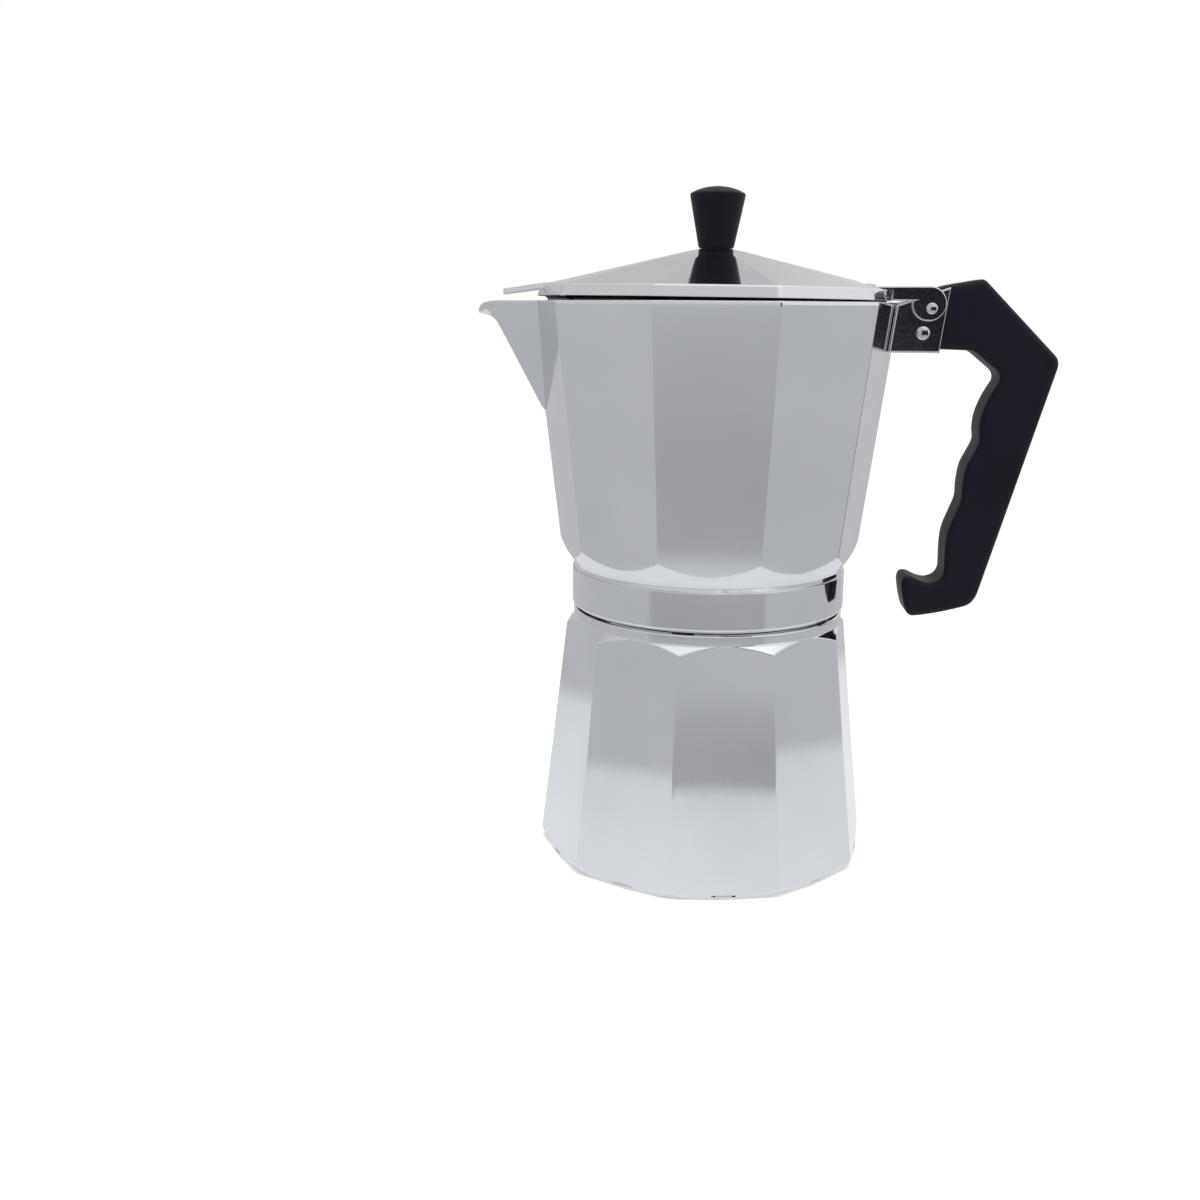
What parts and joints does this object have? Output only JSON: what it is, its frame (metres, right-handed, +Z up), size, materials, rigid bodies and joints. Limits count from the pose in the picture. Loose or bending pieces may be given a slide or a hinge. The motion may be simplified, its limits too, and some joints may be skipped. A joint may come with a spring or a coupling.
{
  "type": "moka pot",
  "caption": "Ten-sided stovetop moka pot with screw-on collector, funnel, hinged lid with knob, pouring spout, side handle and safety valve.",
  "frame": {"origin": "centre of the flat base, on the axis of the boiler and collector", "axes": "+Z up along the pot's axis, +X towards the handle, -X towards the spout"},
  "size_m": [0.2106, 0.128, 0.2483],
  "materials": {
    "polished_aluminium": "polished cast aluminium",
    "spun_aluminium": "plain spun aluminium",
    "steel": "stamped stainless steel",
    "brass": "machined brass",
    "black_plastic": "moulded black phenolic",
    "silicone": "moulded white silicone"
  },
  "bodies": {
    "base_unit": {"boiler": "polished_aluminium", "valve_body": "brass", "valve_cap": "brass", "valve_spring": "steel"},
    "valve_plunger": {"valve_pin": "steel"},
    "funnel": {"funnel_basket": "spun_aluminium", "funnel_stem": "spun_aluminium", "basket_strainer": "spun_aluminium"},
    "seal": {"gasket": "silicone"},
    "filter": {"filter_plate": "spun_aluminium"},
    "collector": {"collector_vessel": "polished_aluminium", "riser_column": "spun_aluminium", "column_cap": "spun_aluminium", "hinge_bracket": "steel", "bracket_rivet_lower": "steel", "bracket_rivet_upper": "steel", "handle": "black_plastic", "handle_rivet": "steel", "hinge_pin": "steel"},
    "lid": {"lid_shell": "polished_aluminium", "lid_strap": "steel", "strap_rivet_1": "steel", "strap_rivet_2": "steel", "knob": "black_plastic", "knob_washer": "steel", "knob_screw": "steel"}
  },
  "joints": [
    {"name": "valve_pull", "type": "slide", "parent": "base_unit", "child": "valve_plunger", "axis": [-0.1297, 0.9854, 0.1102], "range_m": [0, 0.0012], "stiffness_N_per_m": 800, "springref_m": -0.0015},
    {"name": "funnel_lift", "type": "slide", "parent": "base_unit", "child": "funnel", "axis": [0, 0, 1], "range_m": [0, 0.11]},
    {"name": "collector_lift", "type": "slide", "parent": "funnel", "child": "seal", "axis": [0, 0, 1], "range_m": [0, 0.06]},
    {"name": "collector_rise", "type": "slide", "parent": "seal", "child": "filter", "axis": [0, 0, 1], "range_m": [0, 0.0046]},
    {"name": "collector_unscrew", "type": "hinge", "parent": "filter", "child": "collector", "pos_m": [0, 0, 0.1], "axis": [0, 0, 1], "range_deg": [0, 540]},
    {"name": "lid_hinge", "type": "hinge", "parent": "collector", "child": "lid", "pos_m": [0.0767, 0, 0.206], "axis": [0, 1, 0], "range_deg": [0, 98]}
  ],
  "couplings": [
    {"joint": "collector_rise", "follows": "collector_unscrew", "m_per_rad": 0.00047746}
  ]
}
